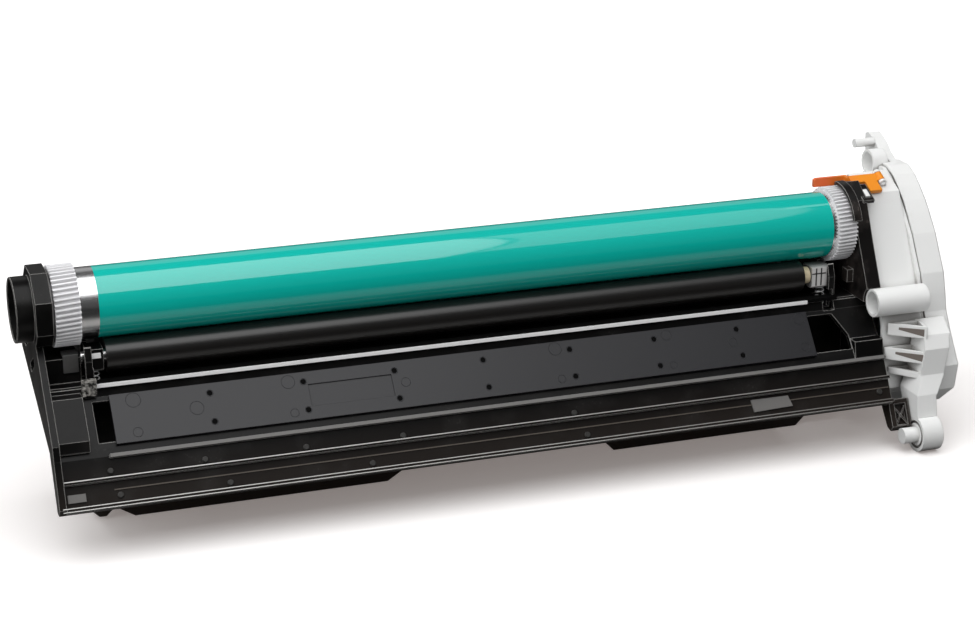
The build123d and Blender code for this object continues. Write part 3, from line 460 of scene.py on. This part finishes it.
def on_wall(first, last, lift):
    """The front of a long wall whose middle line runs down from first to last, both (Y, Z): local X
    along the unit, local Y up the wall from its middle, local Z out of it, lifted off the line."""
    down = Vector((0, last[0] - first[0], last[1] - first[1])).normalized()
    out = Vector((0, down.z, -down.y))
    middle = Vector((0, (first[0] + last[0]) / 2, (first[1] + last[1]) / 2)) + out * lift
    return placing(Vector((1, 0, 0)), -down, out, middle)


plate_face = on_wall(SLOPE_TOP, SLOPE_FOOT, WALL / 2 + PLATE_THICK)
channel_face = on_wall(CHANNEL_TOP, LIP_FOOT, WALL / 2)
channel_length = hypot(LIP_FOOT[0] - CHANNEL_TOP[0], LIP_FOOT[1] - CHANNEL_TOP[1])

# Pieces added to the channels reach into the moulding by ROOT, and thin skins stand out of it by SKIN
ROOT = 0.1
SKIN = 0.12

# Ejector marks on the front plate: X, distance up from the plate's middle, radius
MARKS = (
    (43.9, 7.2, 3.1), (69.4, 0.5, 2.9), (43.7, -6.7, 2.0), (109.3, 6.9, 2.9), (109.7, -6.9, 1.8),
    (159.8, 0.6, 2.0), (229.2, 7.3, 2.9), (229.2, -6.7, 1.8), (281.9, 7.5, 2.4), (282.1, -6.7, 1.6),
    (312.6, 0.5, 2.0), (347.3, 7.5, 2.7), (347.0, -6.0, 2.0),
)
# Cross-section of the thin ring of a mark or a hole's rim: from its radius, and height off the plate
RING = ((-0.14, -0.05), (0.14, -0.05), (0.08, 0.06), (-0.08, 0.06))
FIRST_HOLE = COAT_START + 42.5
HOLE_PITCH = 40.0
HOLE_COUNT = 7
HOLE_UP = 6.25
RIM_RADIUS = 1.45
HOLE_RADIUS = 1.25
HOLE_DEPTH = 0.9
SHADOW_THICK = 0.8
hole_x = [FIRST_HOLE + HOLE_PITCH * number for number in range(HOLE_COUNT)]
HOLES = [(x, up) for x in hole_x for up in (-HOLE_UP, HOLE_UP)]

marks = Mould()
for x, up, radius in MARKS:
    place = plate_face @ Matrix.Translation((x, up, 0))
    marks.lathe([(radius + r, h) for r, h in RING], place, 32)
for x, up in HOLES:
    place = plate_face @ Matrix.Translation((x, up, 0))
    marks.lathe([(RIM_RADIUS + r, h) for r, h in RING], place, 24)
marks.build("plate_marks", plate_grey)

# Deep shadow in the plate's small holes
holes = Mould()
for x, up in HOLES:
    holes.disc(HOLE_RADIUS, SHADOW_THICK, plate_face @ Matrix.Translation((x, up, -HOLE_DEPTH)))
holes.build("hole_shadows", painted_black)

# Round studs in the two channels: X, distance down from the channel's top
STUDS = (
    (30.5, 6.0), (33.2, 16.2), (69.6, 6.3), (78.6, 17.2), (112.4, 6.7), (139.6, 17.1), (154.6, 7.1),
    (232.3, 7.0), (236.6, 17.2), (379.0, 15.4),
)
STUD_RADIUS = 1.3
STUD_HEIGHT = 0.9
studs = Mould()
for x, down in STUDS:
    place = channel_face @ Matrix.Translation((x, channel_length / 2 - down, -ROOT))
    studs.disc(STUD_RADIUS, STUD_HEIGHT, place)
studs.build("channel_studs", stud_grey)

# The rails across the channels: the upper one shows its broad face with a painted sheen, the others
# painted highlights along their edges
RAIL_THICK = 1.4
RAIL_HEIGHT = 2.2
RAIL_FOOT = 0.3
MIDDLE_RAIL_SHARE = 0.465
RAIL_SPAN = (31.0, 384.0)
FRAME_SPAN = (9.2, 384.0)
upper_rail = channel_length / 2 + RAIL_THICK / 2
middle_rail = upper_rail - channel_length * MIDDLE_RAIL_SHARE
lower_rail = upper_rail - channel_length

# Painted sheen: a grey skin over the face and top of the black upper rail
skin = Mould()
skin.bar(RAIL_SPAN, (upper_rail - ROOT, upper_rail + SKIN), (RAIL_FOOT, RAIL_HEIGHT), channel_face)
skin.bar(RAIL_SPAN, (upper_rail - RAIL_THICK, upper_rail + SKIN),
         (RAIL_HEIGHT - ROOT / 2, RAIL_HEIGHT + SKIN), channel_face)
skin.build("upper_rail_face", rail_sheen_grey)

# Height of each painted edge highlight up the wall, and its thickness
EDGES = ((middle_rail, 0.3), (lower_rail, 0.25), (lower_rail - RAIL_THICK, 0.2))
edges = Mould()
for height, thick in EDGES:
    edges.bar(FRAME_SPAN, (height - thick, height + ROOT),
              (RAIL_HEIGHT - ROOT, RAIL_HEIGHT + SKIN), channel_face)
edges.build("rail_edge_highlights", edge_highlight_paint)

# A faint rib along the lower channel
RIB_BELOW_RAIL = 4.9
RIB_WIDTH = 0.5
RIB_HEIGHT = 0.3
rib_top = middle_rail - RIB_BELOW_RAIL
rib = Mould()
rib.bar(RAIL_SPAN, (rib_top - RIB_WIDTH, rib_top), (-ROOT, RIB_HEIGHT), channel_face)
rib.build("channel_rib", faint_edge)

# The open wedges in the two upper fins at the foot of the outer cover, seen as their shaded insides.
# Each fin: height of its top, X of its root and X of its point from the cover's arm, Y of its point.
ARM_X = 393.8
FIN_ROOT_Y = -31.6
FINS = ((-39.8, -7.0, 7.0, -43.0), (-51.2, -8.4, 6.0, -45.0))
# The wedge: where it starts as a share of the fin's length, where it ends short of the point, and its
# lower and upper edge at the start and at the end
WEDGE_START = 0.28
WEDGE_SHORT = 1.4
WEDGE_AT_START = (-2.6, -1.5)
WEDGE_AT_END = (-4.6, -1.2)
WEDGE_SKIN = (-0.02, 0.05)
insides = Mould()
for top, root_x, point_x, point_y in FINS:
    root = Vector((ARM_X + root_x, FIN_ROOT_Y, 0))
    point = Vector((ARM_X + point_x, point_y, 0))
    along = (point - root).normalized()
    out = Vector((along.y, -along.x, 0))
    face = placing(along, Vector((0, 0, 1)), out, root + Vector((0, 0, top)))
    length = (point - root).length
    start, end = length * WEDGE_START, length - WEDGE_SHORT
    (low, high), (end_low, end_high) = WEDGE_AT_START, WEDGE_AT_END
    insides.slab([(start, high), (start, low), (end, end_low), (end, end_high)], WEDGE_SKIN, face)
insides.build("fin_insides", shade)

# The roller springs shorten between their seats and the bearings as the roller is pushed down; each is
# copied here into a piece with its own mesh, and the CAD spring is hidden
for side in ("left", "right"):
    node = side + "_roller_spring"
    coil = bpy.data.objects.new(side + "_spring_coil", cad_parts[node].data)
    bpy.context.scene.collection.objects.link(coil)
    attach(coil, "unit")
    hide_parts(node)
    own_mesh(coil)

# Dark strips painted as the shade in grooves across the front of the right roller bearing: two upright
# ones and a level one
GROOVE_X = (359.3, 361.8)
GROOVE_WIDTH = 0.6
GROOVE_Y = (-12.32, -12.1)
GROOVE_Z = (-25.0, -16.8)
LEVEL_X = (357.5, 364.3)
LEVEL_Z = (-19.6, -19.1)
grooves = Mould()
for x in GROOVE_X:
    grooves.bar((x, x + GROOVE_WIDTH), GROOVE_Y, GROOVE_Z)
grooves.bar(LEVEL_X, GROOVE_Y, LEVEL_Z)
grooves.build("bearing_groove_shade", stud_grey, "roller_carrier")

# Painted highlight: a bright strip on the front of the left roller bearing, where the roller's steel
# journal glints
STRIP_X = (29.0, 33.2)
STRIP_Y = (-12.4, -12.1)
STRIP_Z = (-20.4, -18.1)
strip = Mould()
strip.bar(STRIP_X, STRIP_Y, STRIP_Z)
strip.build("bearing_glint", white_glint_steel, "roller_carrier")

# Crossed ribs in the hollow of the right leg
LEG_TOP = (-41.0, -75.5)
LEG_FOOT = (-46.5, -85.5)
LEG_LEFT = 386.0
LEG_RIGHT = 391.8
LEG_HALF = 4.2
LEG_LIFT = 0.4
LEG_RIB_THICK = 0.8
LEG_RIB_HEIGHTS = (-2.0, 0.2)
leg_face = on_wall(LEG_TOP, LEG_FOOT, LEG_LIFT)
ribs = Mould()
for side in (1, -1):
    left, right = Vector((LEG_LEFT, -LEG_HALF * side)), Vector((LEG_RIGHT, LEG_HALF * side))
    lean = (right - left).normalized() * LEG_RIB_THICK / 2
    beside = Vector((lean.y, -lean.x))
    outline = [left + beside, right + beside, right - beside, left - beside]
    ribs.slab(outline, LEG_RIB_HEIGHTS, leg_face)
ribs.build("leg_ribs", dusty_black)

# Thin black skin over the flat of the steel stay, folded over the upper half of its front edge: a
# painted dark reflection of the steel's flat
STAY_TOP = -29.7
STAY_FRONT = -17.25
STAY_BACK = -12.6
DARK_SKIN_SPAN = (30.2, 368.0)
DARK_SKIN_THICK = 0.2
DARK_SKIN_FOLD = 1.25
DARK_SKIN_ROOT = 0.02
stay_dark_skin = Mould()
stay_dark_skin.bar(DARK_SKIN_SPAN, (STAY_FRONT, STAY_BACK), (STAY_TOP - DARK_SKIN_ROOT, STAY_TOP + DARK_SKIN_THICK))
stay_dark_skin.bar(DARK_SKIN_SPAN, (STAY_FRONT, STAY_FRONT + DARK_SKIN_THICK), (STAY_TOP - DARK_SKIN_FOLD, STAY_TOP))
stay_dark_skin.build("stay_dark_reflection", painted_black)

# Two soft grey pads let into the front lip
PAD_DEPTH = (-0.2, 0.8)
SMALL_PAD = [(11.8, -7.2), (19.2, -7.2), (19.2, -3.8), (11.8, -3.8)]
LARGE_PAD = [(316.2, -7.2), (335.2, -6.6), (333.6, -1.6), (315.4, -1.6)]
pads = Mould()
for outline in (SMALL_PAD, LARGE_PAD):
    pads.slab(outline, PAD_DEPTH, channel_face)
pads.build("lip_pads", pad_grey)

# Floor: it shows the object's shadow close by and runs out into white for the camera. In reflections
# it is pale under and behind the unit, and dark in front of it and at its left. Here in metres.
FLOOR_REACH = 8.0
UNIT_MIDDLE = (0.2, -0.02, 0)
WHITE_START = 0.2
WHITE_FULL = 0.75
FRONT_DARK = -0.16
FRONT_PALE = -0.11
LEFT_DARK = -0.03
LEFT_PALE = 0.02
BLACK = (0.0, 0.0, 0.0)
WHITE = (1.0, 1.0, 1.0)
corners = [(-FLOOR_REACH, -FLOOR_REACH), (FLOOR_REACH, -FLOOR_REACH), (FLOOR_REACH, FLOOR_REACH),
           (-FLOOR_REACH, FLOOR_REACH)]
floor = bpy.data.meshes.new("floor")
floor.from_pydata([(x, y, FLOOR_Z * MM) for x, y in corners], [], [(0, 1, 2, 3)])
ground = bpy.data.objects.new("floor", floor)
bpy.context.scene.collection.objects.link(ground)
floor_paint = Paint("pale floor")
seen = floor_paint.ray("Is Camera Ray")
offset = floor_paint.vectors("SUBTRACT", floor_paint.place(), UNIT_MIDDLE, "Vector")
distance = floor_paint.node("ShaderNodeVectorMath", {"operation": "LENGTH"}, {0: offset}).out("Value")
# Painted light: for the camera the floor glows warm grey over the shadow near the unit, rising to white
# far off
far = floor_paint.rise(distance, WHITE_START, WHITE_FULL, "SMOOTHSTEP")
glow = floor_paint.blend(far, (0.2, 0.175, 0.165), WHITE)
behind = floor_paint.rise(floor_paint.axis("Y"), FRONT_DARK, FRONT_PALE)
rightwards = floor_paint.rise(floor_paint.axis("X"), LEFT_DARK, LEFT_PALE)
mirrored = floor_paint.blend(behind * rightwards, (0.02, 0.02, 0.02), (0.35, 0.34, 0.33))
bounce = floor_paint.blend(floor_paint.ray("Is Glossy Ray"), (0.18, 0.18, 0.18), mirrored)
floor_paint.set(
    Base_Color=floor_paint.blend(seen, bounce, (0.96, 0.96, 0.96)),
    Emission_Color=floor_paint.blend(seen, BLACK, glow),
    Emission_Strength=1.0,
    Roughness=0.9,
    Specular_IOR_Level=0.0,
)
floor.materials.append(floor_paint.material)

# Studio: white to the camera, dim in reflections, an even fill for the rest
world = bpy.data.worlds.new("studio")
bpy.context.scene.world = world
world.use_nodes = True
sky = Nodes(world.node_tree)
fill = sky.blend(sky.ray("Is Glossy Ray"), (0.38, 0.38, 0.38), (0.06, 0.06, 0.06))
seen_sky = sky.blend(sky.ray("Is Camera Ray"), fill, WHITE)
sky.put(world.node_tree.nodes["Background"].inputs["Color"], seen_sky)


def aim(made, direction):
    """Turns a lamp or camera to look along a direction."""
    made.rotation_euler = Vector(direction).to_track_quat("-Z", "Y").to_euler()


def softbox(name, place, facing, size, watts):
    """A rectangular studio lamp that shines along a direction."""
    lamp = bpy.data.lights.new(name, "AREA")
    lamp.shape = "RECTANGLE"
    lamp.size, lamp.size_y = size
    lamp.energy = watts
    made = bpy.data.objects.new(name, lamp)
    made.location = place
    aim(made, facing)
    bpy.context.scene.collection.objects.link(made)


softbox("overhead panel", (-0.16, -0.365, 1.025), (0, 0.266, -0.964), (1.48, 1.32), 12.0)
softbox("overhead panel, dim side", (0.74, -0.3, 1.04), (0, 0.266, -0.964), (0.3, 1.1), 0.9)
softbox("right edge panel", (0.98, -0.02, 1.15), (0, 0.05, -1.0), (0.16, 0.16), 0.1)
softbox("left panel", (-1.3, -0.5, 0.5), (1.45, 0.45, -0.5), (1.0, 0.9), 5.5)
softbox("back panel", (0.2, 1.2, 0.75), (0, -1.2, -0.75), (2.4, 0.7), 1.7)

# Camera at the photograph's viewing angle
camera_data = bpy.data.cameras.new("camera")
camera_data.sensor_width = 36.0
camera_data.lens = 84.92
camera_data.clip_start = 0.05
camera_data.clip_end = 30.0
camera = bpy.data.objects.new("camera", camera_data)
bpy.context.scene.collection.objects.link(camera)
camera.location = (-0.1121, -0.8999, 0.3023)
aim(camera, (0.31452, 0.89127, -0.32669))
bpy.context.scene.camera = camera
bpy.context.scene.view_settings.view_transform = "Standard"
